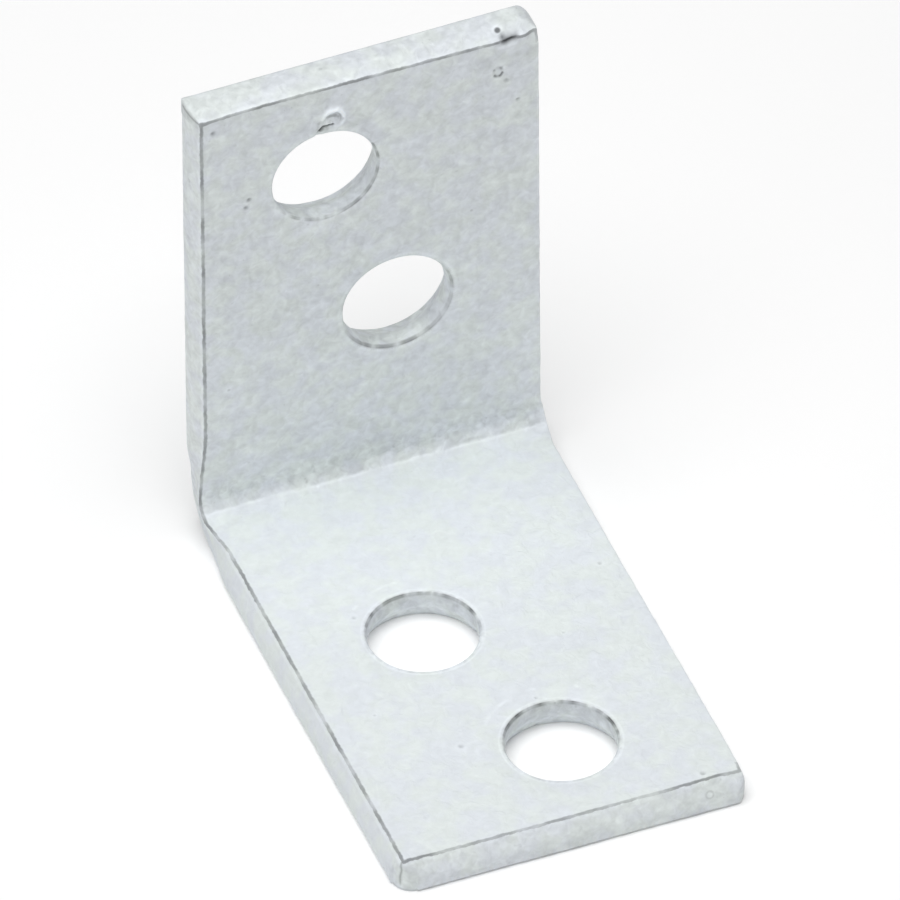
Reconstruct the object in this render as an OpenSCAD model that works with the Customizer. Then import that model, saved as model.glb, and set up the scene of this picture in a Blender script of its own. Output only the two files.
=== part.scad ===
// Folded angle bracket of thick zinc-coated plate, with two staggered
// screw holes in each leg.
//
// Axes: X runs along the fold, Y from the free end of the lying leg to the
// back of the upright leg, Z up. The lying leg rests on Z = 0 with its outer
// face, and the origin is under the middle of the bracket.
//
// The plate is described by its inner face (the one inside the angle) and by
// the depth below that face. The sheared edges lean outwards below the inner
// face, run straight down for a while and end in a rolled-over edge at the
// outer face. The right-hand edge was cut the other way: it leans less, and
// its rolled-over edge is larger. The punched holes have a dished lip on the
// inner face, a short true cylinder, and a torn, widening break-out towards
// the outer face.

/* [Legs] */
// Width of the bracket over all, along the fold
bracket_w = 33.2; // [29:0.1:38]
// Overall height of the upright leg
upright_h = 51.1; // [50:0.1:60]
// Overall length of the lying leg
lying_l = 52.6; // [51:0.1:60]
// Thickness of the plate
plate_t = 3.3; // [3:0.1:3.6]

/* [Fold] */
// Radius inside the fold
fold_r = 1.5; // [0.8:0.1:2.2]
// Radius outside the fold, where the plate is drawn a little thinner
fold_out_r = 6; // [5.6:0.1:6.6]
// How far the squeezed metal stands out at the left end of the fold
bulge_h = 0.6; // [0.3:0.05:0.6]
// Half the length of that bulge, seen from the side
bulge_a = 5; // [3.5:0.25:5.5]
// How far it stands out at the right end
bulge_right_h = 0.4; // [0.3:0.05:0.4]
// Half the length of the right-hand bulge
bulge_right_a = 2.8; // [2.5:0.1:3]
// How far the outside of the fold is drawn in at each end
draw_in = 0.35; // [0.2:0.05:0.4]

/* [Edges] */
// How far the left edge and the free ends lean out below the inner face
lean = 0.8; // [0.62:0.02:0.84]
// How far the right edge leans out
lean_right = 0.36; // [0.1:0.02:0.4]
// Depth at which the edges stop leaning
lean_d = 1.6; // [1.2:0.1:1.8]
// Radius of the rolled-over edge on the left and at the free ends
roll_r = 0.4; // [0.3:0.05:0.7]
// Radius of the rolled-over edge on the right
roll_right_r = 1.1; // [0.7:0.05:1.2]
// Radius of the four corners of the outer face
corner_r = 1.5; // [1:0.1:2]

/* [Holes] */
// Diameter of the holes, at their true cylinder
hole_d = 10; // [8:0.25:10.5]
// Width of the dished lip round each hole
lip_w = 0.2; // [0.15:0.05:0.5]
// Depth of the dished lip
lip_d = 0.3; // [0.2:0.05:0.5]
// Length of the true cylinder below the lip
land_l = 1.3; // [1:0.1:1.5]
// How far the break-out widens the hole at the outer face
breakout = 0.8; // [0.3:0.05:0.9]
// Upright leg, upper hole: offset from the middle of the inner face
up_a_x = -4.2; // [-5:0.1:0]
// Upright leg, upper hole: height above the lying leg's inner face
up_a_d = 36.5; // [34:0.1:40]
// Upright leg, lower hole: offset from the middle of the inner face
up_b_x = 2.5; // [0:0.1:5]
// Upright leg, lower hole: height above the lying leg's inner face
up_b_d = 19; // [17:0.1:21]
// Lying leg, rear hole: offset from the middle of the inner face
ly_a_x = -3.6; // [-5:0.1:0]
// Lying leg, rear hole: distance from the upright leg's inner face
ly_a_d = 21.5; // [19:0.1:23]
// Lying leg, front hole: offset from the middle of the inner face
ly_b_x = 2.7; // [0:0.1:5]
// Lying leg, front hole: distance from the upright leg's inner face
ly_b_d = 39; // [37:0.1:41]

/* [Hidden] */
$fn = 96;
// Left and right limits of the inner faces, and their middle
in_left = -bracket_w / 2 + lean;
in_right = bracket_w / 2 - max(bulge_right_h, lean_right);
in_mid = (in_left + in_right) / 2;
// Right limit of the outer faces
out_right = in_right + lean_right;
// Where the two inner faces would meet, in the bracket's own axes
corner_y = lying_l / 2 - plate_t;
corner_z = plate_t;
// Lengths of the two inner faces, from the line where they would meet
up_in = upright_h - plate_t - lean;
ly_in = lying_l - plate_t - lean;
// Distance from the inner faces to the centre line of the outer fold radius
fold_c = fold_out_r - plate_t;
hole_r = hole_d / 2;
// Depth of the torn part of a hole, from the true cylinder to the outer face
torn_l = plate_t - lip_d - land_l;
// Radii of the balls whose caps are the bulges at the two ends of the fold
ball_r = (bulge_a * bulge_a + bulge_h * bulge_h) / (2 * bulge_h);
ball_right_r = (bulge_right_a * bulge_right_a + bulge_right_h * bulge_right_h)
    / (2 * bulge_right_h);
// Radius of the balls that draw the outside of the fold in
draw_ball_r = 15;
// How far outside the fold those balls are centred, seen from the side
draw_out = 3;
// Depth of those balls below the plate's edge, at their own centre line
draw_deep = draw_in + draw_out * draw_out / (2 * draw_ball_r);

// Edge of the plate in section. x is measured outwards from the edge of the
// inner face, y is the depth below the inner face. l is the lean, r the
// radius of the rolled-over edge, and the section reaches back by `reach`.
module edge_section(l, r, reach) {
    union() {
        polygon([
            [-reach, 0],
            [0, 0],
            [l, lean_d],
            [l, plate_t - r],
            [l - r, plate_t],
            [-reach, plate_t]
        ]);
        intersection() {
            translate([l - r, plate_t - r]) circle(r = r);
            translate([l - r, plate_t - r]) square(r + 1);
        }
    }
}

// The whole width of the plate in section: x across, y the depth
module plate_section() {
    union() {
        translate([in_right, 0])
            edge_section(lean_right, roll_right_r, in_right);
        mirror([1, 0]) translate([-in_left, 0])
            edge_section(lean, roll_r, -in_left);
    }
}

// What the rounded outline of the outer face takes off a square corner.
// The corner is at the origin and the plate lies towards -x and -y.
module corner_waste() {
    difference() {
        translate([-corner_r, -corner_r]) square(corner_r + 1);
        translate([-corner_r, -corner_r]) circle(r = corner_r);
    }
}

// One flat leg with its inner face on Z = 0. It runs along Y from `from` to
// the free end of the inner face at `len`. `side` is 1 where X keeps its
// sense and -1 where the leg is laid down turned half round.
module leg(from, len, side) {
    difference() {
        intersection() {
            translate([0, len + 2, 0])
                rotate([90, 0, 0])
                    mirror([side > 0 ? 0 : 1, 0, 0])
                        mirror([0, 1, 0])
                            linear_extrude(height = len + 2 - from)
                                plate_section();
            translate([-bracket_w, len, 0])
                rotate([90, 0, 90])
                    mirror([0, 1, 0])
                        linear_extrude(height = 2 * bracket_w)
                            edge_section(lean, roll_r, len - from);
        }
        translate([side * (out_right), len + lean, -plate_t - 1])
            mirror([side > 0 ? 0 : 1, 0, 0])
                linear_extrude(height = plate_t + 2) corner_waste();
        translate([side * (-bracket_w / 2), len + lean, -plate_t - 1])
            mirror([side > 0 ? 1 : 0, 0, 0])
                linear_extrude(height = plate_t + 2) corner_waste();
    }
}

// Puts a thing described on a flat leg (inner face on Z = 0, Y away from the
// fold) onto the lying leg or onto the upright leg
module on_lying() {
    translate([0, corner_y, corner_z]) rotate([0, 0, 180]) children();
}
module on_upright() {
    translate([0, corner_y, corner_z]) rotate([90, 0, 0]) children();
}

// The quarter turn between the two legs. Its inside is filled up here, and
// fold_relief() gives it its own radius.
module fold() {
    translate([0, corner_y - fold_c, corner_z + fold_c])
        rotate([0, 90, 0])
            rotate_extrude(angle = 90)
                translate([fold_c, 0])
                    rotate([0, 0, -90])
                        mirror([1, 0])
                            union() {
                                plate_section();
                                translate([in_left, -fold_c / 2])
                                    square([in_right - in_left, fold_c]);
                            }
}

// What lies between the inner faces near the fold, seen from the side:
// x along Y, y along Z
module relief_view() {
    difference() {
        translate([corner_y - fold_c - 2, corner_z])
            square([fold_c + 2, fold_c + 2]);
        translate([corner_y - fold_r, corner_z])
            difference() {
                translate([0, -1]) square([fold_r + 1, fold_r + 1]);
                translate([0, fold_r]) circle(r = fold_r);
            }
    }
}

module fold_relief() {
    translate([-bracket_w, 0, 0])
        rotate([90, 0, 90])
            linear_extrude(height = 2 * bracket_w) relief_view();
}

// Side view of the inner half of the plate near the fold, for the bulges
module bulge_view() {
    translate([corner_y - 9, corner_z - 1.4]) square([10.4, 1.4]);
    translate([corner_y, corner_z - 1.4]) square([1.4, 10.4]);
    translate([corner_y - fold_c, corner_z - 1]) square([fold_c + 1, fold_c + 1]);
}

// Metal squeezed out sideways at the inside of the fold, on both ends
module bulges() {
    intersection() {
        translate([in_left - bulge_h + ball_r, corner_y, corner_z])
            sphere(r = ball_r);
        translate([in_left - 1, 0, 0])
            rotate([90, 0, 90])
                linear_extrude(height = 3) bulge_view();
    }
    intersection() {
        translate([in_right + bulge_right_h - ball_right_r, corner_y, corner_z])
            sphere(r = ball_right_r);
        translate([in_right - 2, 0, 0])
            rotate([90, 0, 90])
                linear_extrude(height = 3) bulge_view();
    }
}

// Balls that draw the outside of the fold in at its two ends
module draw_in_balls() {
    d = (fold_out_r + draw_out) / sqrt(2);
    y = corner_y - fold_c + d;
    z = corner_z + fold_c - d;
    translate([-bracket_w / 2 + draw_deep - draw_ball_r, y, z])
        sphere(r = draw_ball_r);
    translate([out_right - draw_deep + draw_ball_r, y, z])
        sphere(r = draw_ball_r);
}

// A punched hole, cut from the inner face at Z = 0 downwards. Both cones run
// on past the faces at the same slope.
module punched_hole() {
    translate([0, 0, -lip_d])
        cylinder(r1 = hole_r, r2 = hole_r + 2 * lip_w, h = 2 * lip_d);
    translate([0, 0, -lip_d - land_l]) cylinder(r = hole_r, h = land_l);
    translate([0, 0, -lip_d - land_l - 2 * torn_l])
        cylinder(r1 = hole_r + 2 * breakout, r2 = hole_r, h = 2 * torn_l);
}

module bracket() {
    color([0.80, 0.82, 0.83])
        difference() {
            union() {
                on_lying() leg(fold_c, ly_in, -1);
                on_upright() leg(fold_c, up_in, 1);
                fold();
                bulges();
            }
            fold_relief();
            draw_in_balls();
            // the lying leg is turned half round, so its offsets change sign
            on_lying()
                translate([-in_mid - ly_a_x, ly_a_d, 0]) punched_hole();
            on_lying()
                translate([-in_mid - ly_b_x, ly_b_d, 0]) punched_hole();
            on_upright()
                translate([in_mid + up_a_x, up_a_d, 0]) punched_hole();
            on_upright()
                translate([in_mid + up_b_x, up_b_d, 0]) punched_hole();
        }
}

bracket();
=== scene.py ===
"""Looks of the folded angle bracket: one dense mesh that stands for the CAD
node, its zinc-coated surface, a pale floor, soft light and the camera."""

import math

import bpy
import numpy as np
from mathutils import Matrix, Vector
from mathutils.geometry import delaunay_2d_cdt


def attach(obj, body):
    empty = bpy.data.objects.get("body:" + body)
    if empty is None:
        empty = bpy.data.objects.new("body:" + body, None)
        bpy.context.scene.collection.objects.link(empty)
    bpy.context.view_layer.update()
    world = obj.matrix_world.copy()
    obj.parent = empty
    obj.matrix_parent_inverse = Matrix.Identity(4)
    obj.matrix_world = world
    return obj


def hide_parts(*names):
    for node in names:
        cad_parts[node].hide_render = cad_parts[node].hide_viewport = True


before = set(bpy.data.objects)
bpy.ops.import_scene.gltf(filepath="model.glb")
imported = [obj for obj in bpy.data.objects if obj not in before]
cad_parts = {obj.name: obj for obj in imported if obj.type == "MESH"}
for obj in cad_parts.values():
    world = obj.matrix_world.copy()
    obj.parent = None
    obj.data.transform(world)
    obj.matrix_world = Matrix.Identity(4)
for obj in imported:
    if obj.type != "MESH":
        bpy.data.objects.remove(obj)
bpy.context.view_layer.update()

MM = 0.001
HALF_PI = math.pi / 2

# ---------------------------------------------------------------- measures
# All in millimetres, in the bracket's own axes.
SHIFT = 0.08  # the measures below are this far right of the shared frame
IN_L, IN_R = -15.70, 16.25  # sides of the inner face
OUT_L, OUT_R = -16.50, 16.61  # sides of the outer face, before its roll
T = 3.3  # plate
CY, CZ = 23.0, 3.3  # where the two inner faces would meet
FC = 2.7
FY, FZ, RO, RI = CY - FC, CZ + FC, 6.0, 1.5  # fold
TOP_IN, TOP_OUT = 50.30, 51.1
END_IN, END_OUT = -25.52, -26.3
LEAN_D = 1.6
CORNER_R = 2.0

# A place on the plate is (x, m, s): m is minus the height above the fold on
# the upright leg, 0 to 1 round the fold, and 1 plus the distance from the
# fold on the lying leg. s is the depth below the inner face.
M_TOP_IN, M_TOP_OUT = FZ - TOP_IN, FZ - TOP_OUT
M_END_IN, M_END_OUT = 1 + FY - END_IN, 1 + FY - END_OUT


def m_up(z):
    return FZ - z


def m_lie(y):
    return 1 + FY - y


def smooth(a, b, x):
    t = np.clip((x - a) / (b - a), 0, 1)
    return t * t * (3 - 2 * t)


def lattice(i, j, k, seed):
    n = i * 73856093 ^ j * 19349663 ^ k * 83492791 ^ (seed * 26544357 + 977)
    n = ((n ^ (n >> 13)) * 1274126177) & 0x7FFFFFFF
    n = ((n ^ (n >> 15)) * 461845907) & 0x7FFFFFFF
    return (n ^ (n >> 16)) / 0x7FFFFFFF * 2 - 1


def noise(p, scale, seed):
    """Smooth noise from -1 to 1 at the points p, of that wavelength in mm."""
    q = np.asarray(p, float) / scale + 1000.0
    i = np.floor(q).astype(np.int64)
    f = q - i
    f = f * f * (3 - 2 * f)
    total = np.zeros(len(q))
    for dx in (0, 1):
        wx = f[:, 0] if dx else 1 - f[:, 0]
        for dy in (0, 1):
            wy = f[:, 1] if dy else 1 - f[:, 1]
            for dz in (0, 1):
                wz = f[:, 2] if dz else 1 - f[:, 2]
                total += wx * wy * wz * lattice(
                    i[:, 0] + dx, i[:, 1] + dy, i[:, 2] + dz, seed
                )
    return total


def fbm(p, scale, seed, octaves=3):
    total, weight, size = 0.0, 0.0, 1.0
    for o in range(octaves):
        total = total + size * noise(p, scale / 2**o, seed + 31 * o)
        weight += size
        size *= 0.55
    return total / weight


# ------------------------------------------------------------ the fold's map
def r_inner(th):
    """From the outer fold's centre line to the inner side of the fold."""
    th = np.minimum(th, HALF_PI - th)
    straight = FC / np.cos(th)
    c = FC - RI
    along = c * (np.cos(th) + np.sin(th))
    arc = along + np.sqrt(np.maximum(along**2 - 2 * c * c + RI * RI, 0))
    return np.where(th < math.atan2(c, FC), straight, arc)


def fold_r(m, s):
    ri = r_inner(np.clip(m, 0, 1) * HALF_PI)
    return ri + (s / T) * (RO - ri)


def place(x, m, s):
    """(x, m, s) to x, y, z in millimetres."""
    th = np.clip(m, 0, 1) * HALF_PI
    r = fold_r(m, s)
    y = FY + r * np.cos(th)
    z = FZ - r * np.sin(th)
    y = np.where(m < 0, CY + s, y)
    z = np.where(m < 0, FZ - m, z)
    y = np.where(m > 1, FY - (m - 1), y)
    z = np.where(m > 1, CZ - s, z)
    return np.stack([x + 0 * m, y, z], -1)


# Length along the inner face, which the flat pattern of that face uses
_tab_m = np.linspace(0, 1, 401)
_tab_p = place(np.zeros(401), _tab_m, np.zeros(401))
_tab_l = np.concatenate(
    [[0], np.cumsum(np.linalg.norm(np.diff(_tab_p, axis=0), axis=1))]
)
FOLD_L = float(_tab_l[-1])


def ell(m):
    inside = np.interp(np.clip(m, 0, 1), _tab_m, _tab_l)
    return np.where(m < 0, m, np.where(m > 1, FOLD_L + m - 1, inside))


def ell_inv(v):
    inside = np.interp(np.clip(v, 0, FOLD_L), _tab_l, _tab_m)
    return np.where(v < 0, v, np.where(v > FOLD_L, 1 + v - FOLD_L, inside))


OUT_FOLD_L = RO * HALF_PI


def ell_out(m):
    return np.where(
        m < 0, m, np.where(m > 1, OUT_FOLD_L + m - 1, np.clip(m, 0, 1) * OUT_FOLD_L)
    )


def ell_out_inv(v):
    return np.where(
        v < 0,
        v,
        np.where(v > OUT_FOLD_L, 1 + v - OUT_FOLD_L, np.clip(v / OUT_FOLD_L, 0, 1)),
    )


# ------------------------------------------------------------ edge profiles
def roll(s, r):
    d = np.clip(s - (T - r), 0, r)
    return r - np.sqrt(np.maximum(r * r - d * d, 0))


def lean_of(s, total):
    """Leans out to `total`, with the break between the two parts eased."""
    k = 0.12
    t = np.clip(s / LEAN_D, 0, None)
    soft = -k * np.log(np.exp(-t / k) + np.exp(-1 / k))
    soft0 = -k * np.log(1 + np.exp(-1 / k))
    return total * np.clip((soft - soft0) / (1 - soft0), 0, 1)


def left_out(s, m):
    total = 0.62 + 0.18 * smooth(-2.0, 7.0, m)
    return lean_of(s, 1.0) * total - roll(s, 0.4)


def right_out(s):
    return lean_of(s, 0.36) - roll(s, 1.1)


def end_back(x):
    """How far the front inner edge stands back at its two ends."""
    return 0.12 * smooth(8, 14, x) + 0.10 * smooth(-11.5, -15.5, x)


def end_out(x, s):
    back_ = end_back(x)
    return -back_ + lean_of(s, 1.0) * (0.76 + back_) - roll(s, 0.4)


def drop(x):
    """How far the upper inner edge of the upright leg sags to the left."""
    return 0.5 * np.exp(-np.clip(x - IN_L, 0, None) / 3.4)


def top_out(x, s):
    """How far the top end stands above TOP_IN at depth s."""
    full = 0.63 + 0.0145 * x
    return -drop(x) + lean_of(s, 1.0) * (full + drop(x)) - roll(s, 0.4)


def cap(d, a, h):
    r = (a * a + h * h) / (2 * h)
    return np.where(d < a, np.sqrt(np.maximum(r * r - d * d, 0)) - (r - h), 0)


def soft_max(a, b, k=0.04):
    return np.maximum(a, b) + 0.5 * k * np.exp(-np.abs(a - b) / k)


def side_x(m, s, left):
    """x of the left or right side of the plate at m and depth s."""
    p = place(np.zeros_like(m), m, s)
    y, z = p[:, 1], p[:, 2]
    se = np.where((m > 0) & (m < 1), fold_r(m, s) - FC, s)
    d = np.hypot(y - CY, z - CZ)
    mask = 1 - smooth(1.2, 2.2, se)
    dy, dz = FY + 9 / math.sqrt(2), FZ - 9 / math.sqrt(2)
    ball = np.sqrt(np.maximum(225 - (y - dy) ** 2 - (z - dz) ** 2, 0))
    if left:
        out = left_out(se, m)
        # squeezed out at the inside of the fold, further up than along
        up, along = z - CZ, CY - y
        t = np.where(up > along, up / 8.2, along / 5.4)
        b = 0.62 * np.clip(1 - t * t, 0, 1) ** 1.3 * mask
        out = np.where(b > 1e-6, soft_max(out, b, 0.08), out)
        # drawn in at the outside of the fold
        lo = ell_out(m)
        draw = smooth(-3.6, 0.6, lo) * (1 - smooth(-1.4, 4.6, lo - OUT_FOLD_L))
        out = out - 0.40 * draw * smooth(0.5, 2.0, se)
        return IN_L - out
    out = right_out(se)
    b = cap(d, 2.8, 0.38) * mask
    out = np.where(b > 1e-6, soft_max(out, b), out)
    x = IN_R + out + 0.10 * smooth(12, 42, m)
    limit = 16.61 - 0.65 + 15 - ball
    near = np.hypot(y - dy, z - dz) < 6
    return np.where(near, np.minimum(x, limit), x)


# ------------------------------------------------------------ the outline
# One ring of points round the plate at each depth, with the same number of
# points in each ring, so that neighbours are joined by quads.
CX_L, CX_R = OUT_L + CORNER_R, OUT_R - CORNER_R
CM_T, CM_E = M_TOP_OUT + CORNER_R, M_END_OUT - CORNER_R
STEP = 0.42
side_m = np.concatenate(
    [
        np.linspace(CM_T, 0, int(-CM_T / STEP) + 1)[:-1],
        np.linspace(0, 1, 21)[:-1],
        np.linspace(1, CM_E, int((CM_E - 1) / STEP) + 1),
    ]
)
end_x = np.linspace(CX_L, CX_R, int((CX_R - CX_L) / STEP) + 1)
PHI = np.linspace(0, HALF_PI, 25)[1:-1]

OUTLINE_LEVELS = [
    (0.13, 0.0),
    (0.075, 0.008),
    (0.032, 0.03),
    (0.008, 0.07),
    (0.0, 0.12),
] + [
    (0.0, s)
    for s in (
        0.22, 0.36, 0.55, 0.8, 1.05, 1.25, 1.4, 1.52, 1.64, 1.78, 1.95, 2.2, 2.38,
        2.55, 2.7, 2.82, 2.93, 3.03, 3.12, 3.19, 3.245, 3.28, 3.3,
    )
]  # (inset, depth)


def corner(cx, cm, xe, me, sx, sm, radius):
    """Points round one corner, from the side (PHI 0) to the end (PHI 90)."""
    ax, am = abs(xe - cx), abs(me - cm)
    c, s = np.cos(PHI), np.sin(PHI)
    p = 14.0
    inv = (np.maximum(c / ax, 1e-9)) ** p + (np.maximum(s / am, 1e-9)) ** p
    inv = inv + (1 / radius) ** p
    d = inv ** (-1 / p)
    # the ends of the arc join the straight sides without a step
    d = np.minimum(d * (1 + 0.05), np.minimum(np.minimum(ax / c, am / s), radius))
    return cx + sx * d * c, cm + sm * d * s


def ring(e, s):
    """The outline at depth s, inset by e: x and m of its points."""
    S = np.full(len(side_m), s)
    xl = side_x(side_m, S, True) + e
    xr = side_x(side_m, S, False) - e
    Se = np.full(len(end_x), s)
    top = M_TOP_IN - top_out(end_x, Se) + e
    end = M_END_IN + end_out(end_x, Se) - e
    ends = [
        (CX_L, CM_E, xl[-1], end[0], -1, 1, 1.72),
        (CX_R, CM_E, xr[-1], end[-1], 1, 1, 2.29),
        (CX_R, CM_T, xr[0], top[-1], 1, -1, 2.0),
        (CX_L, CM_T, xl[0], top[0], -1, -1, 2.41),
    ]
    c = [corner(*a[:6], a[6] - e) for a in ends]
    x = np.concatenate(
        [xl, c[0][0], end_x, c[1][0][::-1], xr[::-1], c[2][0], end_x[::-1], c[3][0][::-1]]
    )
    m = np.concatenate(
        [side_m, c[0][1], end, c[1][1][::-1], side_m[::-1], c[2][1], top[::-1], c[3][1][::-1]]
    )
    return x, m


# ------------------------------------------------------------ the holes
# centre x, m, how the metal round each is pulled in by the punch, and at what angle and how strongly shade is painted
# at its rim
HOLES = [
    dict(x=-3.93, m=m_up(39.72), dish=0.10, dish_r=7.4, grow=-0.08, rim=(-50, 0.7), seed=3),
    dict(x=2.74, m=m_up(22.35), dish=0.06, dish_r=6.6, grow=0.12, rim=(-60, 0.75), seed=5),
    dict(x=-3.31, m=m_lie(1.51), dish=0.07, dish_r=6.75, grow=0.0, rim=(80, 1.0), seed=7),
    dict(x=2.95, m=m_lie(-15.99), dish=0.08, dish_r=7.0, grow=0.0, rim=(75, 1.0), seed=11),
]
for hole in HOLES:
    hole["l"] = float(ell(np.array(hole["m"])))
HOLE_N = 132
HOLE_LEVELS = [
    (5.34, 0.0),
    (5.26, 0.01),
    (5.20, 0.03),
    (5.15, 0.06),
    (5.11, 0.10),
    (5.07, 0.16),
    (5.04, 0.23),
    (5.01, 0.31),
    (5.0, 0.42),
    (5.0, 0.6),
    (5.0, 0.85),
    (5.0, 1.1),
    (5.0, 1.35),
    (5.0, 1.54),
    (5.03, 1.66),
    (5.10, 1.8),
    (5.2, 2.0),
    (5.33, 2.25),
    (5.45, 2.5),
    (5.56, 2.75),
    (5.67, 3.0),
    (5.74, 3.17),
    (5.79, 3.27),
    (5.81, 3.3),
]
ANG = np.linspace(0, 2 * math.pi, HOLE_N, endpoint=False)


def hole_ring(h, r, s):
    rr = np.full(HOLE_N, r)
    p = np.stack([np.cos(ANG) * 4, np.sin(ANG) * 4, np.full(HOLE_N, s)], -1)
    torn = smooth(1.55, 1.9, np.array(s))
    rr = rr + torn * (0.05 * noise(p, 1.3, h["seed"]) + 0.03 * noise(p, 0.45, h["seed"] + 1))
    rr = rr + (1 - torn) * 0.012 * noise(p, 2.0, h["seed"] + 2)
    rr = rr + h["grow"] * (1 - smooth(0.0, 1.2, np.array(s)))
    return h["x"] + rr * np.cos(ANG), h["m"] + rr * np.sin(ANG)


# ------------------------------------------------------------ small features
# Pits in the coat: x, m, radius, depth, darkening
PITS = [
    (14.26, m_up(42.85), 0.20, 0.10, 0.55),
    (-14.48, m_up(48.38), 0.27, 0.10, 0.8),
    (-11.18, m_up(39.38), 0.23, 0.08, 0.75),
    (-11.47, m_up(38.52), 0.23, 0.08, 0.75),
    (-5.54, m_lie(-13.46), 0.26, 0.08, 0.45),
    (2.88, m_lie(-10.04), 0.16, 0.06, 0.4),
    (14.43, m_lie(3.95), 0.20, 0.07, 0.4),
    (-8.38, m_lie(5.35), 0.18, 0.06, 0.4),
    (13.01, m_lie(-24.52), 0.24, 0.09, 0.5),
    (-13.3, m_up(17.2), 0.14, 0.06, 0.4),
    (9.8, m_up(31.0), 0.14, 0.05, 0.4),
    (8.2, m_lie(-3.2), 0.13, 0.05, 0.3),
    (-11.2, m_lie(-7.0), 0.13, 0.05, 0.3),
]
# Where the mesh is finer: x, m, radius, spacing
FINE = [(p[0], p[1], 0.55, 0.085) for p in PITS] + [
    (-3.4, m_up(46.1), 2.2, 0.075),  # nodule
    (12.45, m_up(46.5), 1.1, 0.08),  # round dent
    (13.5, m_up(49.9), 1.7, 0.09),  # nick at the top corner
    (14.9, m_lie(-24.5), 1.3, 0.16),  # front corner
]


def near(x, l, fx, fm):
    return np.hypot(x - fx, l - float(ell(np.array(fm))))


def at_place(x, l, fx, fm):
    """Offsets from a place, across and up in the picture of that face."""
    return x - fx, float(ell(np.array(fm))) - l


def nodule(x, l):
    """Parts of the nodule: crescent, inside, inner lump, crack, dark lines."""
    u, v = at_place(x, l, -3.22, m_up(46.28))
    d = np.hypot(u / 1.02, v / 1.26)
    a = np.arctan2(v, u)
    wob = noise(np.stack([2 * np.cos(a), 2 * np.sin(a), 0 * a], -1), 0.9, 60)
    arc = np.clip(0.5 + 0.62 * np.cos(a - math.radians(62)), 0, 1) ** 0.8
    rim = arc * np.exp(-(((d - 1.0 - 0.07 * wob) / (0.13 + 0.09 * arc)) ** 2))
    inside = np.exp(-((d / 0.85) ** 4))
    lump = np.exp(-(((u + 0.05) / 0.35) ** 2) - ((v + 0.42) / 0.16) ** 2)
    # crack from the hole's rim up into the nodule, then to the right
    pts = [(-1.40, -1.60), (-1.08, -1.05), (-0.84, -0.68), (0.02, -0.50)]
    wide = [0.20, 0.20, 0.15, 0.10]
    crack = np.zeros(len(x))
    for k in range(3):
        (ax, ay), (bx, by) = pts[k], pts[k + 1]
        t = np.clip(
            ((u - ax) * (bx - ax) + (v - ay) * (by - ay)) / ((bx - ax) ** 2 + (by - ay) ** 2), 0, 1
        )
        w_ = wide[k] + (wide[k + 1] - wide[k]) * t
        e = np.hypot(u - ax - t * (bx - ax), v - ay - t * (by - ay))
        crack = np.maximum(crack, np.exp(-((e / w_) ** 2)))
    dark = np.clip(np.cos(a - math.radians(25)), 0, 1) ** 2 * np.exp(-(((d - 0.74) / 0.09) ** 2))
    blot = fbm(np.stack([u, v, 0 * u], -1), 0.55, 63, 2)
    near_ = np.exp(-((d / 1.0) ** 4)) + 0.8 * np.exp(-((np.hypot(u + 1.35, v + 0.35) / 0.7) ** 2))
    dark = np.maximum(dark, 0.9 * np.clip(-blot * 2.2 - 0.1, 0, 1) * near_)
    lump = np.maximum(lump, 0.45 * np.clip(blot * 2.0 - 0.2, 0, 1) * near_)
    return rim, inside, lump, crack, dark


def round_dent(x, l):
    u, v = at_place(x, l, 12.39, m_up(46.71))
    d = np.hypot(u * 1.1, v * 0.9)
    a = np.arctan2(v, u)
    part = noise(np.stack([2 * np.cos(a), 2 * np.sin(a), 0 * a], -1), 1.0, 64)
    ring_ = np.exp(-(((d - 0.46 - 0.05 * part) / 0.14) ** 2)) * np.clip(0.7 + 0.8 * part, 0.15, 1)
    rim_ = np.exp(-(((d - 0.72) / 0.13) ** 2))
    u, v = at_place(x, l, 13.1, m_up(45.5))
    return ring_, rim_, np.exp(-(u * u + v * v) / 0.02)


def nick(x, l):
    """The cut at the top right and the pale lip under it."""
    u, v = at_place(x, l, 13.5, m_up(50.16))
    bend = v - 0.05 * u - 0.05 * np.sin(u * 3.4)
    wide = 0.25 + 0.12 * np.exp(-(((u + 0.35) / 0.3) ** 2))
    cut = np.exp(-((bend / wide) ** 2) - (u / 0.86) ** 6)
    blob = np.exp(-((u + 0.62) ** 2 + (bend - 0.34) ** 2) / 0.05)
    cut = np.maximum(cut, 0.8 * blob)
    lip = np.exp(-(((bend + 0.62) / 0.22) ** 2) - ((u + 0.15) / 1.0) ** 4)
    return cut, lip


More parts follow.
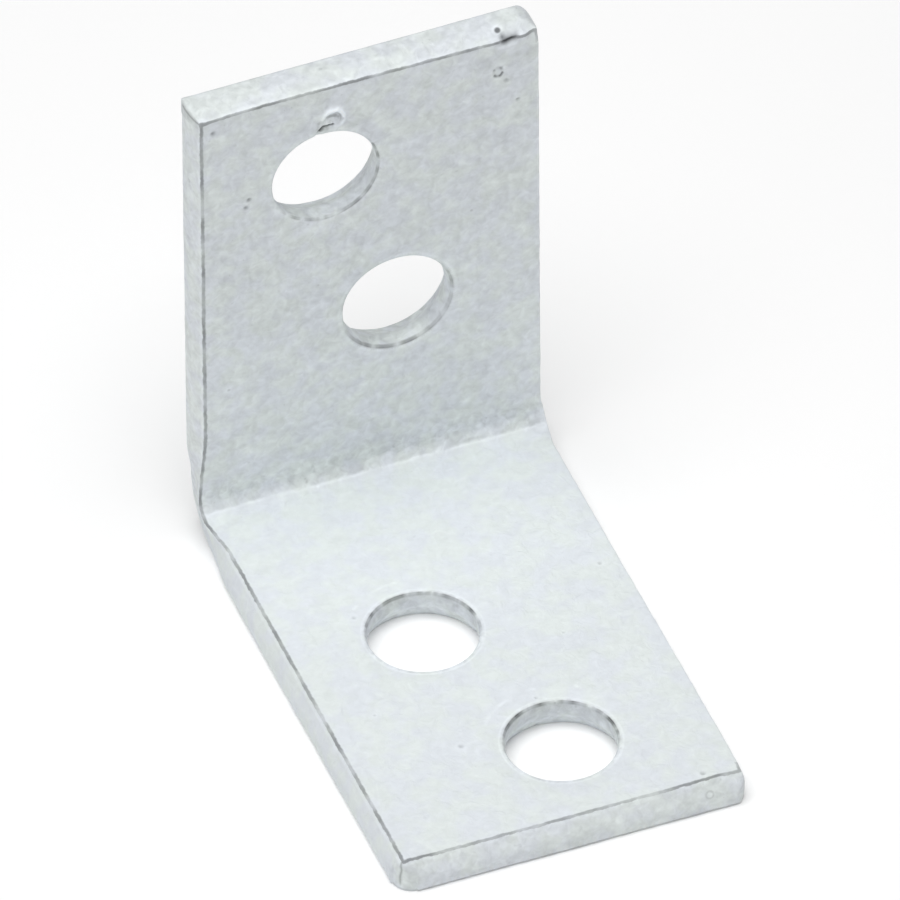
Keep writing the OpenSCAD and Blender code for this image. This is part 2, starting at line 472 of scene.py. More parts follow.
def inner_height(x, m):
    """How far the inner face stands proud at x, m, in mm."""
    l = ell(m)
    p = np.stack([x, l, 0 * x], -1)
    h = 0.012 * fbm(p, 7.0, 1) + 0.006 * fbm(p, 1.6, 2, 2)
    # dishes round the holes, with a faint ridge where they begin
    for k, ho in enumerate(HOLES):
        d = np.hypot(x - ho["x"], l - ho["l"])
        a = np.arctan2(l - ho["l"], x - ho["x"])
        wob = noise(np.stack([3 * np.cos(a), 3 * np.sin(a), 0 * a + k], -1), 1.1, 40 + k)
        outer = ho["dish_r"] * (1 + 0.03 * wob)
        deep = ho["dish"] * (1 + 0.35 * wob)
        h -= deep * (1 - smooth(5.35, outer, d)) ** 1.5
        h += 0.014 * np.exp(-(((d - outer - 0.12) / 0.2) ** 2)) * (0.6 + 0.4 * wob)
    # pits, each with a faint rim
    for fx, fm, r, deep, _ in PITS:
        d = near(x, l, fx, fm) / r
        h += -deep * np.exp(-((d / 0.75) ** 2)) + 0.2 * deep * np.exp(-(((d - 1.35) / 0.4) ** 2))
    # nodule of coat above the upper hole, open towards the lower left
    rim, inside, lump, crack, _ = nodule(x, l)
    h += 0.26 * rim + 0.09 * inside * (1 + 0.9 * noise(p, 0.42, 61)) + 0.12 * lump
    h -= 0.30 * crack
    # round dent with a low rim near the top right
    ring_, rim_, tail_ = round_dent(x, l)
    h += -0.05 * ring_ + 0.02 * rim_ - 0.05 * tail_
    # nick at the top edge
    cut, lip = nick(x, l)
    h += -0.20 * cut + 0.05 * lip
    # lumpy metal at the foot of the upright leg, in the fold
    foot = np.exp(-(((l - 0.9) / 1.0) ** 2))
    h += foot * (0.05 * fbm(p, 1.9, 21, 3) + 0.03 * noise(p, 0.7, 22))
    h += 0.045 * np.exp(-(((l - 3.75 - 0.12 * noise(p, 3.0, 25)) / 0.24) ** 2)) * (
        0.8 + 0.3 * noise(p, 1.5, 26)
    )
    # a smoother lump at the right end of the fold
    u, v = x - 15.0, l - 0.8
    h += 0.14 * np.exp(-((u / 0.95) ** 2) - (v / 1.25) ** 2)
    u, v = x - 14.2, l - 2.6
    h += 0.05 * np.exp(-(((np.hypot(u, v) - 0.55) / 0.16) ** 2)) * (u * 0.4 + v > -0.3)
    return h


def droop(x, l):
    """How far the inner edge is pressed back at the two right-hand corners."""
    lt = float(ell(np.array(M_TOP_IN)))
    le = float(ell(np.array(M_END_IN)))
    d1 = np.hypot((x - 16.1) / 1.25, (l - lt) / 1.35)
    d2 = np.hypot((x - 16.1) / 1.3, (l - le) / 1.2)
    d3 = np.hypot((x + 15.7) / 0.7, (l - lt) / 0.7)
    d4 = np.hypot((x + 15.7) / 0.9, (l - le) / 0.9)
    return (
        0.42 * (1 - smooth(0, 1.15, d1)) ** 1.1
        + 0.2 * (1 - smooth(0, 1.2, d2))
        + 0.05 * (1 - smooth(0, 1, d3))
        + 0.10 * (1 - smooth(0, 1, d4))
    )


# ------------------------------------------------------------ build the mesh
X, M, S, KIND, EDGE = [], [], [], [], []
faces = []
count = 0


def add(x, m, s, kind, edge):
    """Adds points and returns their numbers."""
    global count
    n = len(x)
    X.append(np.asarray(x, float))
    M.append(np.asarray(m, float))
    S.append(np.full(n, float(s)) if np.isscalar(s) else np.asarray(s, float))
    KIND.append(np.full(n, kind))
    EDGE.append(np.asarray(edge, float) + np.zeros(n))
    ids = np.arange(count, count + n)
    count += n
    return ids


def join(a, b, flip=False):
    """Quads between two closed rings with the same number of points."""
    a2, b2 = np.roll(a, -1), np.roll(b, -1)
    q = np.stack([a, a2, b2, b], -1)
    faces.append(q[:, ::-1] if flip else q)


rings = []
back = 0.0
for e, s in OUTLINE_LEVELS:
    x, m = ring(e, s)
    rings.append(add(x, m, s, 2, s - e))
for a, b in zip(rings[:-1], rings[1:]):
    join(a, b, True)

hole_rings = []
for h in HOLES:
    mine = []
    for r, s in HOLE_LEVELS:
        x, m = hole_ring(h, r, s)
        mine.append(add(x, m, s, 3, -9.0))
    for a, b in zip(mine[:-1], mine[1:]):
        join(a, b, True)
    hole_rings.append(mine)


def inside_outline(x, v, poly, margin):
    """Points inside the closed outline by more than the margin."""
    hit = np.zeros(len(x), bool)
    far = np.ones(len(x), bool)
    px, pv = poly
    qx, qv = np.roll(px, -1), np.roll(pv, -1)
    for i in range(len(px)):
        cross = (pv[i] > v) != (qv[i] > v)
        with np.errstate(divide="ignore", invalid="ignore"):
            at = (qx[i] - px[i]) * (v - pv[i]) / (qv[i] - pv[i]) + px[i]
        hit ^= cross & (x < at)
    # distance by the nearest outline point, which is dense enough
    for k in range(0, len(px), 1):
        far &= (x - px[k]) ** 2 + (v - pv[k]) ** 2 > margin * margin
    return hit & far


def hexes(x0, x1, v0, v1, step, cx=0.0, cv=0.0):
    dv = step * math.sqrt(3) / 2
    rows = np.arange(math.floor((v0 - cv) / dv), math.ceil((v1 - cv) / dv) + 1)
    cols = np.arange(math.floor((x0 - cx) / step) - 1, math.ceil((x1 - cx) / step) + 1)
    R, C = np.meshgrid(rows, cols, indexing="ij")
    return (cx + (C + 0.5 * (R % 2)) * step).ravel(), (cv + R * dv).ravel()


def fill(to_l, from_l, outline, holes, step, kind, s, flip, extra_rings, fine, inset, row=None):
    """Triangles over one flat face, between its outline and its holes."""
    ids = [outline] + holes
    allx = np.concatenate(X)
    allm = np.concatenate(M)
    px, pv = allx[outline], to_l(allm[outline])
    pts_x, pts_v, pts_id = [], [], []
    for r in ids:
        pts_x.append(allx[r])
        pts_v.append(to_l(allm[r]))
        pts_id.append(r)
    free_x, free_v = [], []
    # rings just inside the outline, made by moving its points inwards
    cxs, cvs = px, pv
    tx = np.roll(cxs, -1) - np.roll(cxs, 1)
    tv = np.roll(cvs, -1) - np.roll(cvs, 1)
    ln = np.hypot(tx, tv) + 1e-12
    nx, nv = tv / ln, -tx / ln
    # make sure that the normal points inwards
    area = 0.5 * np.sum(cxs * np.roll(cvs, -1) - np.roll(cxs, -1) * cvs)
    if area > 0:
        nx, nv = -nx, -nv
    for off in inset:
        ox, ov = cxs + nx * off, cvs + nv * off
        keep = inside_outline(ox, ov, (px, pv), off * 0.9)
        free_x.append(ox[keep])
        free_v.append(ov[keep])
    for h, c in zip(HOLES, holes):
        hv = float(to_l(np.array(h["m"])))
        for n, r in extra_rings:
            a = np.linspace(0, 2 * math.pi, n, endpoint=False) + r
            free_x.append(h["x"] + r * np.cos(a))
            free_v.append(hv + r * np.sin(a))
    gx, gv = hexes(-17, 17, pv.min(), pv.max(), step)
    if row is not None:
        keep = np.abs(gv - row) > 0.72
        gx, gv = gx[keep], gv[keep]
        for k in range(-5, 6):
            free_x.append(np.arange(-14.9, 15.6, 0.2) + 0.1 * (k % 2))
            free_v.append(0 * free_x[-1] + row + 0.12 * k)
    keep = inside_outline(gx, gv, (px, pv), (inset[-1] if inset else 0) + step * 0.5)
    gx, gv = gx[keep], gv[keep]
    r_hole = np.hypot(allx[holes[0][0]] - HOLES[0]["x"], allm[holes[0][0]] - HOLES[0]["m"])
    r_clear = extra_rings[-1][1] if extra_rings else r_hole
    for h in HOLES:
        hv = float(to_l(np.array(h["m"])))
        keep = np.hypot(gx - h["x"], gv - hv) > r_clear + step * 0.45
        gx, gv = gx[keep], gv[keep]
    fine_v = [(fx, float(to_l(np.array(fm))), fr, fs) for fx, fm, fr, fs in fine]
    for fx, fv, fr, fs in fine_v:
        keep = np.hypot(gx - fx, gv - fv) > fr + step * 0.2
        gx, gv = gx[keep], gv[keep]
    fx_all, fv_all = [gx], [gv]
    base_x = np.concatenate(free_x) if free_x else np.zeros(0)
    base_v = np.concatenate(free_v) if free_v else np.zeros(0)
    for n, (fx, fv, fr, fs) in enumerate(fine_v):
        hx, hv = hexes(fx - fr, fx + fr, fv - fr, fv + fr, fs, fx, fv)
        d = np.hypot(hx - fx, hv - fv)
        # thinner towards the rim of the fine patch
        rr, cc = np.round((hv - fv) / (fs * math.sqrt(3) / 2)), np.round((hx - fx) / fs)
        coarse = (rr % 2 == 0) & (cc % 2 == 0)
        keep = (d < fr * 0.72) | ((d < fr) & coarse)
        keep &= inside_outline(hx, hv, (px, pv), fs * 0.7)
        for h in HOLES:
            keep &= np.hypot(hx - h["x"], hv - float(to_l(np.array(h["m"])))) > r_hole + fs * 0.5
        for k in range(n):
            ox, ov, orr, _ = fine_v[k]
            keep &= np.hypot(hx - ox, hv - ov) > orr
        hx, hv = hx[keep], hv[keep]
        fx_all.append(hx)
        fv_all.append(hv)
        ok = np.hypot(base_x - fx, base_v - fv) > fr * 0.72
        ok |= False
        base_x, base_v = base_x[ok], base_v[ok]
    # two rings must not put points on top of each other
    fx_all.append(base_x)
    fv_all.append(base_v)
    nx_, nv_ = np.concatenate(fx_all), np.concatenate(fv_all)
    key = np.round(nx_ / 0.04).astype(np.int64) * 1000003 + np.round(nv_ / 0.04).astype(np.int64)
    _, first = np.unique(key, return_index=True)
    first.sort()
    nx_, nv_ = nx_[first], nv_[first]
    new = add(nx_, from_l(nv_), s, kind, 0.0)
    all_x = np.concatenate(pts_x + [nx_])
    all_v = np.concatenate(pts_v + [nv_])
    all_id = np.concatenate(pts_id + [new])
    edges, at = [], 0
    for r in ids:
        n = len(r)
        edges += [(at + i, at + (i + 1) % n) for i in range(n)]
        at += n
    made = delaunay_2d_cdt(
        [Vector(p) for p in np.stack([all_x, all_v], -1).tolist()], edges, [], 0, 1e-7, True
    )
    verts, tris, orig = made[0], made[2], made[3]
    if len(verts) > len(all_x):
        print("note: the triangulation added", len(verts) - len(all_x), "points")
    vid = np.array([o[0] if o else -1 for o in orig])
    t = np.array([f for f in tris if len(f) == 3])
    t = vid[t]
    t = t[(t >= 0).all(1)]
    # what can be reached from a free point without crossing a ring is plate
    n_ring, big = at, len(all_x)
    key = np.sort(t[:, [0, 1, 1, 2, 2, 0]].reshape(-1, 2), axis=1)
    key = (key[:, 0].astype(np.int64) * big + key[:, 1]).reshape(-1, 3)
    walls_ = {min(a_, b_) * big + max(a_, b_) for a_, b_ in edges}
    beside = {}
    for n, ks in enumerate(key.tolist()):
        for kk in ks:
            if kk not in walls_:
                beside.setdefault(kk, []).append(n)
    ok = np.zeros(len(t), bool)
    first_t = int(np.argmax((t >= n_ring).any(1)))
    todo = [first_t]
    ok[first_t] = True
    rows_ = key.tolist()
    while todo:
        for kk in rows_[todo.pop()]:
            for n in beside.get(kk, ()):
                if not ok[n]:
                    ok[n] = True
                    todo.append(n)
    t = all_id[t[ok]]
    faces.append(t[:, ::-1] if flip else t)
    return new


# length along the inner face at which the fold shows its painted highlight line
LINE_L = float(np.interp(-(CY - 0.66), -_tab_p[:, 1], _tab_l))
inner_ids = fill(
    ell, ell_inv, rings[0], [r[0] for r in hole_rings], 0.40, 0, 0.0, True,
    [(132, 5.50), (132, 5.66), (132, 5.82), (120, 6.0), (120, 6.25), (110, 6.5), (110, 6.75), (110, 7.0), (110, 7.3)],
    FINE, (0.1, 0.25, 0.48), LINE_L,
)
outer_ids = fill(
    ell_out, ell_out_inv, rings[-1], [r[-1] for r in hole_rings], 0.85, 1, T, False,
    [(100, 6.05), (84, 6.5)], [], (0.15, 0.5),
)

X, M, S = np.concatenate(X), np.concatenate(M), np.concatenate(S)
KIND, EDGE = np.concatenate(KIND), np.concatenate(EDGE)
L = ell(M)

# distance inside the inner face's outline, for the points on that face
line_ring = rings[4][~((X[rings[4]] > CX_R) & (M[rings[4]] > CM_T) & (M[rings[4]] < CM_E))]
r0x, r0l = X[line_ring], L[line_ring]
inner = np.zeros(len(X), bool)
inner[inner_ids] = True
d2 = np.full(int(inner.sum()), 1e9)
ix, il = X[inner], L[inner]
for k in range(len(r0x)):
    d2 = np.minimum(d2, (ix - r0x[k]) ** 2 + (il - r0l[k]) ** 2)
straight = np.minimum.reduce(
    [
        ix - np.interp(il, ell(side_m), side_x(side_m, 0 * side_m, True)),
        il - (M_TOP_IN + drop(ix)),
        float(ell(np.array(M_END_IN))) - end_back(ix) - il,
    ]
)
EDGE[inner] = -np.minimum(np.sqrt(d2), np.maximum(straight, 0))
EDGE[(KIND == 2) & (X > CX_R + 1.2) & (M > CM_T + 0.4) & (M < CM_E - 0.4)] = -9.0
EDGE[KIND == 1] = 9.0

# ---- shape: everything below moves points by small amounts
fade = np.clip(1 - S / T, 0, 1)
s_new = S.copy()
on_inner = (KIND == 0) | ((KIND != 1) & (S < 0.6))
height = inner_height(X, M)
w = np.where(KIND == 0, 1.0, np.clip(1 - S / 0.6, 0, 1) ** 2)
s_new -= np.where(on_inner, w * height, 0)
s_new += droop(X, L) * fade**1.2

P = place(X, M, s_new)
base = P.copy()
q = base.copy()
# The sheared sides: a faint wave, and a coarser grain on their broken part
wall = KIND == 2
wave = 0.022 * (noise(q, 6.0, 71) - 1) + 0.014 * (noise(q, 1.1, 72) - 1)
wave = wave * smooth(0.05, 0.6, S)
torn = smooth(1.5, 1.9, S)
grain = 0.02 * (noise(q, 0.55, 73) - 1) * torn
# a small irregular burr along the inner edge
burr = np.exp(-(((S - 0.05) / 0.12) ** 2)) * np.where(wall, 1, 0)
jag = 0.030 * noise(q, 0.8, 74) + 0.015 * noise(q, 0.4, 75)
amount = np.where(wall, wave + grain + burr * jag, 0.0)
left = wall & (X < CX_L - 0.0) & (M > CM_T) & (M < CM_E)
right = wall & (X > CX_R + 0.0) & (M > CM_T) & (M < CM_E)
top = wall & (M < CM_T)
end = wall & (M > CM_E)
P[left, 0] -= amount[left]
P[right, 0] += amount[right]
P[top, 2] += amount[top] * smooth(CM_T, CM_T - 0.7, M[top])
P[end, 1] -= amount[end] * smooth(CM_E, CM_E + 0.7, M[end])
# The outer faces stay flat, with a whisper of unevenness that goes inwards
outer = KIND == 1
dent = 0.006 * (1 + fbm(q, 5.0, 81))
P[outer & (M < 0), 1] -= dent[outer & (M < 0)]
P[outer & (M > 1), 2] += dent[outer & (M > 1)]

P[:, 0] -= SHIFT
lo_lim = np.array([-16.59, END_OUT, 0.0])
hi_lim = np.array([16.59, 26.3, TOP_OUT])
P = np.clip(P, lo_lim, hi_lim)

# ---- colour marks, painted shade and painted highlight among them, from -1 (dark) to 1 (light), one number a point
mark = np.zeros(len(X))
soft = np.zeros(len(X))
for fx, fm, r, deep, dark in PITS:
    d = near(X, L, fx, fm) / r
    mark -= np.where(inner, dark * np.exp(-((d / 0.9) ** 2)), 0)
    soft += np.where(inner, 0.25 * np.exp(-(((d - 1.7) / 0.6) ** 2)), 0)
# the nodule: painted shade in its crack, dark lines inside the crescent, and painted highlight on its crescent rim
# and lump
rim, inside, lump, crack, dark = nodule(X, L)
mark -= np.where(inner, 1.25 * crack + 0.75 * dark, 0)
soft += np.where(inner, 2.3 * rim * (1 - crack) + 1.3 * lump * (1 - crack), 0)
ring_, rim_, tail_ = round_dent(X, L)
mark -= np.where(inner, 1.15 * ring_ + 1.0 * tail_, 0)
soft += np.where(inner, 0.5 * rim_, 0)
cut, lip = nick(X, L)
face_side = inner | ((KIND == 2) & (S < 0.9) & (M < 0))
mark -= np.where(face_side, 1.5 * cut, 0)
soft += np.where(face_side, 1.3 * lip * (1 - cut), 0)
# painted highlight under the upper hole, and painted highlight in pale crescents at the rims, where the lips of the
# holes catch the light
u, v = at_place(X, L, -5.3, m_up(33.9))
soft += np.where(inner, 0.5 * np.exp(-((u / 2.6) ** 2) - ((v + 0.03 * u * u) / 0.35) ** 2), 0)
for k, ho in enumerate(HOLES):
    d = np.hypot(X - ho["x"], L - ho["l"])
    a = np.arctan2(ho["l"] - L, X - ho["x"])
    n3 = np.stack([3 * np.cos(a), 3 * np.sin(a), 0 * a + k], -1)
    wob = noise(n3, 1.2, 90 + k)
    wob2 = fbm(n3 * 3, 1.3, 97 + k, 2)
    r_rim = 5.16 + ho["grow"]
    soft += np.where(inner, (0.7 + 0.6 * wob) * np.exp(-(((d - r_rim - 0.27) / 0.13) ** 2)), 0)
    # shade at the rim, on the side that the photo shows dark
    side = smooth(-0.35, 0.35, np.cos(a - math.radians(ho["rim"][0])))
    own = (KIND == 3) & (d < 6.2)
    line_ = np.exp(-(((d - r_rim + 0.02 * wob) / 0.075) ** 2)) * (S < 0.5)
    line_ = np.maximum(line_, 0.75 * smooth(0.03, 0.10, S) * (1 - smooth(0.22, 0.42, S)))
    mark -= np.where(own, ho["rim"][1] * 1.05 * side * line_ * np.clip(0.8 + 1.3 * wob2, 0.15, 1.4), 0)
    # painted highlight: broken pale streaks on the faint ridge where the dish begins
    high = smooth(0.1, 0.6, np.sin(a)) if ho["m"] > 1 else 0.4
    ridge_highlight = np.clip(wob2 * 2.2, 0, 1) * np.exp(-(((d - ho["dish_r"] - 0.1 * wob) / 0.11) ** 2))
    soft += np.where(inner, 1.0 * high * ridge_highlight, 0)
# painted highlight: the pale line at the foot of the upright leg, with a band of painted shade beside it on the
# upright's side
fold_n = np.stack([X, 0 * X, 0 * X], -1)
line_l = LINE_L + 0.09 * noise(fold_n, 2.2, 131) + 0.05 * noise(fold_n, 0.6, 132)
fold_highlight = np.exp(-(((L - line_l) / 0.13) ** 2)) - 0.5 * np.exp(-(((L - line_l + 0.35) / 0.2) ** 2))
soft += np.where(inner, fold_highlight * (0.75 + 0.4 * noise(fold_n, 1.1, 133)), 0)
# dark lines down the two left-hand corners of the plate
for cm, sign, middle, depth_ in ((CM_T, -1, 29, 2.4), (CM_E, 1, 37, 2.4)):
    phi = np.degrees(np.arctan2((M - cm) * sign, CX_L - X))
    at_corner = (KIND == 2) & (X < CX_L) & ((M - cm) * sign > 0)
    wander = 5 * noise(np.stack([S, S * 0, S * 0 + sign], -1), 0.9, 141)
    line_ = np.exp(-(((phi - middle - wander) / 3.6) ** 2)) * (1 - smooth(depth_, depth_ + 0.6, S))
    mark -= np.where(at_corner, 0.75 * line_, 0)
# how strong the mottling is; it is stronger on the upright leg, where it is partly painted shade and highlight for
# the relief that the grazing light shows there
amp = np.where(M < 0.55, 1.0, 0.36)
amp = amp + 0.6 * np.exp(-(((base[:, 2] - 4.9) / 1.3) ** 2)) * (M < 1)
amp = np.where((KIND == 2) & (M > CM_E), 1.1, amp)
amp = np.where(KIND == 3, 1.3, amp)
amp = np.where(KIND == 1, 0.6, amp)
# painted shade: the punched walls of the holes in the lying leg, the top end and the front end towards its lower edge
# are darkened, and the upright's inner face is painted darker towards its top and lighter towards its foot
painted_shading = np.where(KIND == 3, smooth(0.2, 0.5, S), 0.0)
painted_shading = painted_shading * np.where(M > 1, 1.0, 0.0)
# painted shading: the upright's inner face darker towards its top and lighter towards its foot, evening out how the
# light falls on it
painted_shading = np.where((KIND == 0) & (M < 0.5), -0.4 + 1.2 * smooth(8, 34, base[:, 2]), painted_shading)
# painted shade: the front end darker towards its lower edge and on the roll where it meets the floor
painted_shading = np.where((KIND == 2) & (M > CM_E), 0.4 + 1.4 * smooth(0.9, 3.3, S), painted_shading)
mark -= np.where((KIND == 2) & (M > CM_E), 0.22 * smooth(2.95, 3.2, S), 0)
# painted shade on the top end
painted_shading = np.where((KIND == 2) & (M < CM_T), 1.9 * smooth(0.0, 0.25, S), painted_shading)

tri = [f for f in faces if f.shape[1] == 3]
quad = [f for f in faces if f.shape[1] == 4]
tri = np.concatenate(tri)
quad = np.concatenate(quad)
mesh = bpy.data.meshes.new("bracket_plate")
nt, nq = len(tri), len(quad)
mesh.vertices.add(len(P))
mesh.vertices.foreach_set("co", (P * MM).astype(np.float32).ravel())
mesh.loops.add(nt * 3 + nq * 4)
mesh.loops.foreach_set(
    "vertex_index", np.concatenate([tri.ravel(), quad.ravel()]).astype(np.int32)
)
mesh.polygons.add(nt + nq)
starts = np.concatenate([np.arange(nt) * 3, nt * 3 + np.arange(nq) * 4]).astype(np.int32)
mesh.polygons.foreach_set("loop_start", starts)
mesh.polygons.foreach_set("use_smooth", np.ones(nt + nq, bool))
mesh.update(calc_edges=True)
print("plate:", len(P), "points,", nt + 2 * nq, "triangles, valid:", not mesh.validate())
for name, values in (("edge", EDGE), ("mark", mark), ("soft", soft), ("painted_shading", painted_shading), ("amp", amp)):
    at = mesh.attributes.new(name, "FLOAT", "POINT")
    at.data.foreach_set("value", values.astype(np.float32))

plate = bpy.data.objects.new("bracket_plate", mesh)
bpy.context.scene.collection.objects.link(plate)
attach(plate, "root")
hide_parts("bracket")


# ------------------------------------------------------------ zinc surface
mat = bpy.data.materials.new("zinc_plate")
mat.use_nodes = True
nt_ = mat.node_tree
nt_.nodes.clear()
nodes, links = nt_.nodes, nt_.links


def node(kind, **props):
    n = nodes.new(kind)
    for k, v in props.items():
        setattr(n, k, v)
    return n


def put(socket, value):
    if hasattr(value, "is_linked") or isinstance(value, bpy.types.NodeSocket):
        links.new(value, socket)
    else:
        socket.default_value = value


def math_(op, a, b=0.0, c=0.0, clamp=False):
    n = node("ShaderNodeMath", operation=op, use_clamp=clamp)
    put(n.inputs[0], a)
    put(n.inputs[1], b)
    put(n.inputs[2], c)
    return n.outputs[0]


def span(value, a, b, to0=0.0, to1=1.0, smooth_=True):
    n = node("ShaderNodeMapRange", interpolation_type="SMOOTHSTEP" if smooth_ else "LINEAR")
    put(n.inputs["Value"], value)
    for k, v in (("From Min", a), ("From Max", b), ("To Min", to0), ("To Max", to1)):
        put(n.inputs[k], v)
    return n.outputs["Result"]


coord = node("ShaderNodeTexCoord").outputs["Object"]


def tex(scale, detail=2.0, rough=0.5, offset=0.0, stretch=None, warp=0.0):
    m_ = node("ShaderNodeMapping")
    put(m_.inputs["Vector"], coord)
    m_.inputs["Location"].default_value = (offset, offset * 0.7, -offset)
    if stretch:
        m_.inputs["Scale"].default_value = stretch
    n = node("ShaderNodeTexNoise")
    put(n.inputs["Vector"], m_.outputs["Vector"])
    n.inputs["Scale"].default_value = scale
    n.inputs["Detail"].default_value = detail
    n.inputs["Roughness"].default_value = rough
    n.inputs["Distortion"].default_value = warp
    return n.outputs["Fac"]


def attribute(name):
    return node("ShaderNodeAttribute", attribute_name=name, attribute_type="GEOMETRY").outputs["Fac"]


edge = attribute("edge")
dark_marks_and_shade_a = attribute("mark")
highlight_and_pale_a = attribute("soft")
painted_shading_a = attribute("painted_shading")
amp_a = attribute("amp")

broad = tex(110, 2, 0.5, 0.31)
cloud = tex(700, 3, 0.6, 0.17)
fine = tex(2600, 2, 0.55, 0.07)
speck = tex(1500, 1.5, 0.5, 0.53)
streak = tex(1300, 2, 0.5, 0.91)

# value: one number near 1 that the base colour is multiplied by
worm = tex(820, 2.0, 0.5, 0.39, None, 0.9)
worm2 = tex(1500, 1.5, 0.5, 0.83, None, 0.7)
grain_v = math_("MULTIPLY", math_("SUBTRACT", worm, 0.5), 0.34)
grain_v = math_("MULTIPLY_ADD", math_("SUBTRACT", worm2, 0.5), 0.26, grain_v)
grain_v = math_("MULTIPLY_ADD", math_("SUBTRACT", cloud, 0.5), 0.14, grain_v)
grain_v = math_("MULTIPLY_ADD", math_("SUBTRACT", fine, 0.5), 0.03, grain_v)
value = math_("MULTIPLY_ADD", math_("SUBTRACT", broad, 0.5), 0.05, 1.0)
value = math_("MULTIPLY_ADD", grain_v, amp_a, value)
dark_specks = span(speck, 0.70, 0.80)
value = math_("MULTIPLY_ADD", math_("MULTIPLY", dark_specks, amp_a), -0.12, value)
light_specks = span(streak, 0.70, 0.80)
value = math_("MULTIPLY_ADD", math_("MULTIPLY", light_specks, amp_a), 0.09, value)

# dark line along the inner edge, broken up, and a pale band beside it
line_n = tex(1500, 2, 0.6, 0.77)
at_line = math_("ADD", edge, math_("MULTIPLY", math_("SUBTRACT", line_n, 0.5), 0.26))
line = math_(
    "MULTIPLY",
    span(at_line, -0.36, -0.20),
    math_("SUBTRACT", 1.0, span(at_line, 0.0, 0.11)),
)
patchy = span(tex(260, 3, 0.6, 0.45), 0.32, 0.62, 0.35, 1.0)
line = math_("MULTIPLY", line, patchy)
rim = math_(
    "MULTIPLY",
    span(at_line, 0.02, 0.14),
    math_("SUBTRACT", 1.0, span(at_line, 0.22, 0.55)),
)
value = math_("MULTIPLY_ADD", rim, 0.07, value)
# painted shade from the shading attribute
value = math_("MULTIPLY_ADD", painted_shading_a, -0.055, value)
# painted highlight: the pale marks on rims, lips, ridges and the fold, with pale halos round the pits
value = math_("MULTIPLY_ADD", highlight_and_pale_a, 0.16, value)
# darkness: dark marks with painted shade among them, and the dark line along the inner edge
darkness = math_("MAXIMUM", math_("MULTIPLY", line, 0.60), math_("MULTIPLY", dark_marks_and_shade_a, -0.62), clamp=True)


def spot(x, y, z, r0, r1):
    """1 within r0 mm of a place on the surface, 0 beyond r1."""
    n = node("ShaderNodeVectorMath", operation="DISTANCE")
    put(n.inputs[0], coord)
    n.inputs[1].default_value = ((x - SHIFT) * MM, y * MM, z * MM)
    return math_("SUBTRACT", 1.0, span(n.outputs["Value"], r0 * MM, r1 * MM))


pit = spot(12.73, 23.92, 50.85, 0.18, 0.40)
halo = math_("SUBTRACT", spot(12.73, 23.92, 50.85, 0.42, 0.70), pit)
oval = spot(13.05, -26.15, 2.02, 0.34, 0.52)
oval = math_("SUBTRACT", oval, spot(13.05, -26.15, 2.02, 0.20, 0.36))
darkness = math_("MAXIMUM", darkness, math_("MULTIPLY", pit, 0.72))
darkness = math_("MAXIMUM", darkness, math_("MULTIPLY", oval, 0.20))
value = math_("MULTIPLY_ADD", halo, 0.11, value)
keep_v = math_("SUBTRACT", 1.0, darkness)
value = math_("MULTIPLY", value, keep_v)

tone = tex(420, 2, 0.5, 0.63)
mix = node("ShaderNodeMix", data_type="RGBA", blend_type="MIX")
put(mix.inputs[0], span(tone, 0.35, 0.65))
mix.inputs[6].default_value = (0.755, 0.795, 0.835, 1)
mix.inputs[7].default_value = (0.770, 0.820, 0.812, 1)
scale_c = node("ShaderNodeVectorMath", operation="SCALE")
put(scale_c.inputs[0], mix.outputs[2])
put(scale_c.inputs["Scale"], value)

rough = math_("MULTIPLY_ADD", math_("SUBTRACT", cloud, 0.5), 0.2, 0.6)
rough = math_("MULTIPLY_ADD", darkness, 0.2, rough, clamp=True)

bump1 = node("ShaderNodeBump")
bump1.inputs["Strength"].default_value = 1.0
bump1.inputs["Distance"].default_value = 0.000016
put(bump1.inputs["Height"], worm2)
bump2 = node("ShaderNodeBump")
bump2.inputs["Strength"].default_value = 1.0
bump2.inputs["Distance"].default_value = 0.00012
put(bump2.inputs["Height"], worm)
put(bump2.inputs["Normal"], bump1.outputs["Normal"])

shader = node("ShaderNodeBsdfPrincipled")
put(shader.inputs["Base Color"], scale_c.outputs[0])
shader.inputs["Metallic"].default_value = 0.05
put(shader.inputs["Roughness"], rough)
shader.inputs["Specular IOR Level"].default_value = 0.35
put(shader.inputs["Normal"], bump2.outputs["Normal"])
out = node("ShaderNodeOutputMaterial")
links.new(shader.outputs["BSDF"], out.inputs["Surface"])
mesh.materials.append(mat)

# ------------------------------------------------------------ studio
fmesh = bpy.data.meshes.new("floor")
fmesh.from_pydata(
    [(-1.5, -1.5, 0), (1.5, -1.5, 0), (1.5, 1.5, 0), (-1.5, 1.5, 0)], [], [(0, 1, 2, 3)]
)
floor = bpy.data.objects.new("floor", fmesh)
floor.location = (0, 0, -0.00003)
bpy.context.scene.collection.objects.link(floor)
fmat = bpy.data.materials.new("pale_floor")
fmat.use_nodes = True
fb = fmat.node_tree.nodes["Principled BSDF"]
fb.inputs["Base Color"].default_value = (0.93, 0.93, 0.93, 1)
fb.inputs["Roughness"].default_value = 0.9
fb.inputs["Specular IOR Level"].default_value = 0.1
fb.inputs["Emission Color"].default_value = (1, 1, 1, 1)
fb.inputs["Emission Strength"].default_value = 0.09
fmesh.materials.append(fmat)

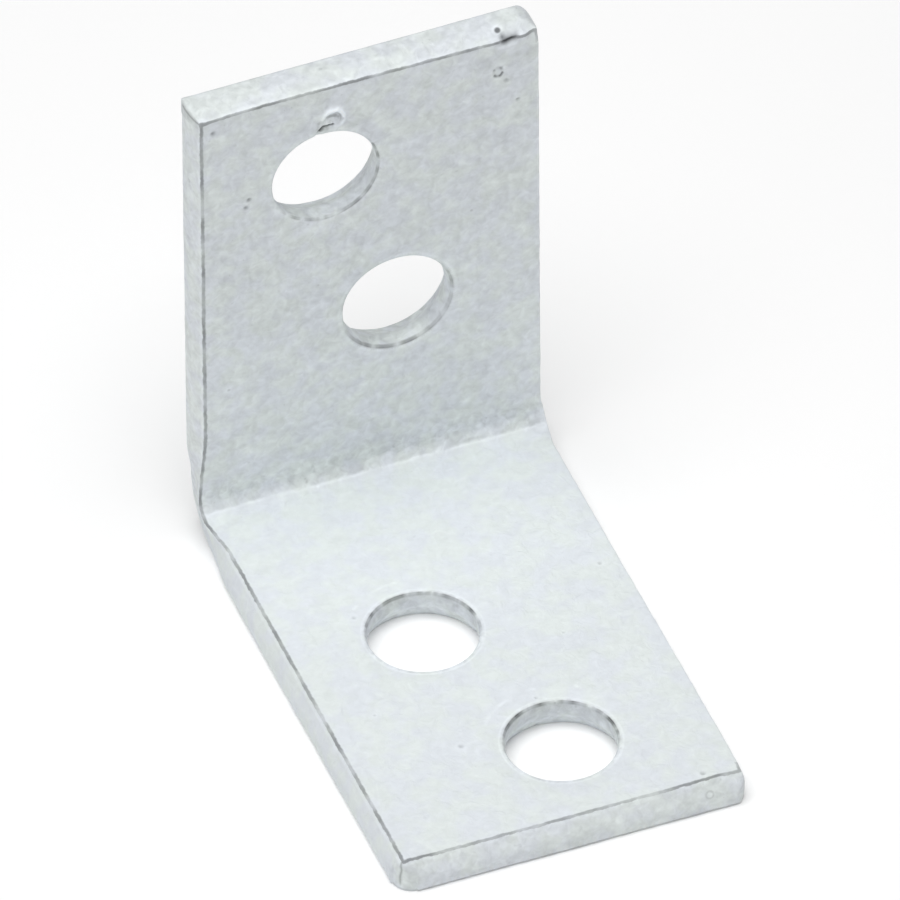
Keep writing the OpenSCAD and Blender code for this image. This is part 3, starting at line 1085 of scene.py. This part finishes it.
world = bpy.data.worlds.new("studio")
bpy.context.scene.world = world
world.use_nodes = True
bg = world.node_tree.nodes["Background"]
bg.inputs["Color"].default_value = (1.0, 1.0, 1.0, 1)
bg.inputs["Strength"].default_value = 0.215


def area(name, size, energy, location, target):
    data = bpy.data.lights.new(name, "AREA")
    data.shape = "DISK"
    data.size = size
    data.energy = energy
    o = bpy.data.objects.new(name, data)
    o.location = location
    o.rotation_mode = "QUATERNION"
    o.rotation_quaternion = (Vector(target) - Vector(location)).to_track_quat("-Z", "Y")
    bpy.context.scene.collection.objects.link(o)
    return o


area("key", 0.7, 5.15, (-0.08, -0.08, 0.75), (0, 0, 0.02))
area("left_fill", 0.5, 0.37, (-0.7, -0.25, 0.35), (0, 0, 0.02))
area("front_fill", 0.5, 0.31, (0.05, -0.8, 0.12), (0, 0, 0.02))

# ------------------------------------------------------------ camera
W = 0.03175
az, el, rl = (math.radians(a) for a in (-20.9183, 43.0432, -0.4606))
INV_D, SCALE, PX, PY = 0.0093, 357.6374, 372.0616, 466.9162
b = Vector((math.sin(az) * math.cos(el), -math.cos(az) * math.cos(el), math.sin(el)))
r = (-b).cross(Vector((0, 0, 1))).normalized()
u = r.cross(-b)
right_v = math.cos(rl) * r + math.sin(rl) * u
up_v = -math.sin(rl) * r + math.cos(rl) * u
dist = 1 / INV_D
C = right_v * (-(PX - 450) / SCALE) + up_v * ((PY - 450) / SCALE) + b * dist
cam_data = bpy.data.cameras.new("camera")
cam_data.sensor_width = 36
cam_data.lens = SCALE * dist / 900 * 36
cam_data.clip_start = 0.1
cam_data.clip_end = 20
cam = bpy.data.objects.new("camera", cam_data)
loc = Vector((0.00008, 0.0230, 0.0033)) + C * W
cam.matrix_world = Matrix(
    (
        (right_v.x, up_v.x, b.x, loc.x),
        (right_v.y, up_v.y, b.y, loc.y),
        (right_v.z, up_v.z, b.z, loc.z),
        (0, 0, 0, 1),
    )
)
bpy.context.scene.collection.objects.link(cam)
bpy.context.scene.camera = cam

bpy.context.scene.view_settings.view_transform = "Standard"
bpy.context.scene.view_settings.look = "None"
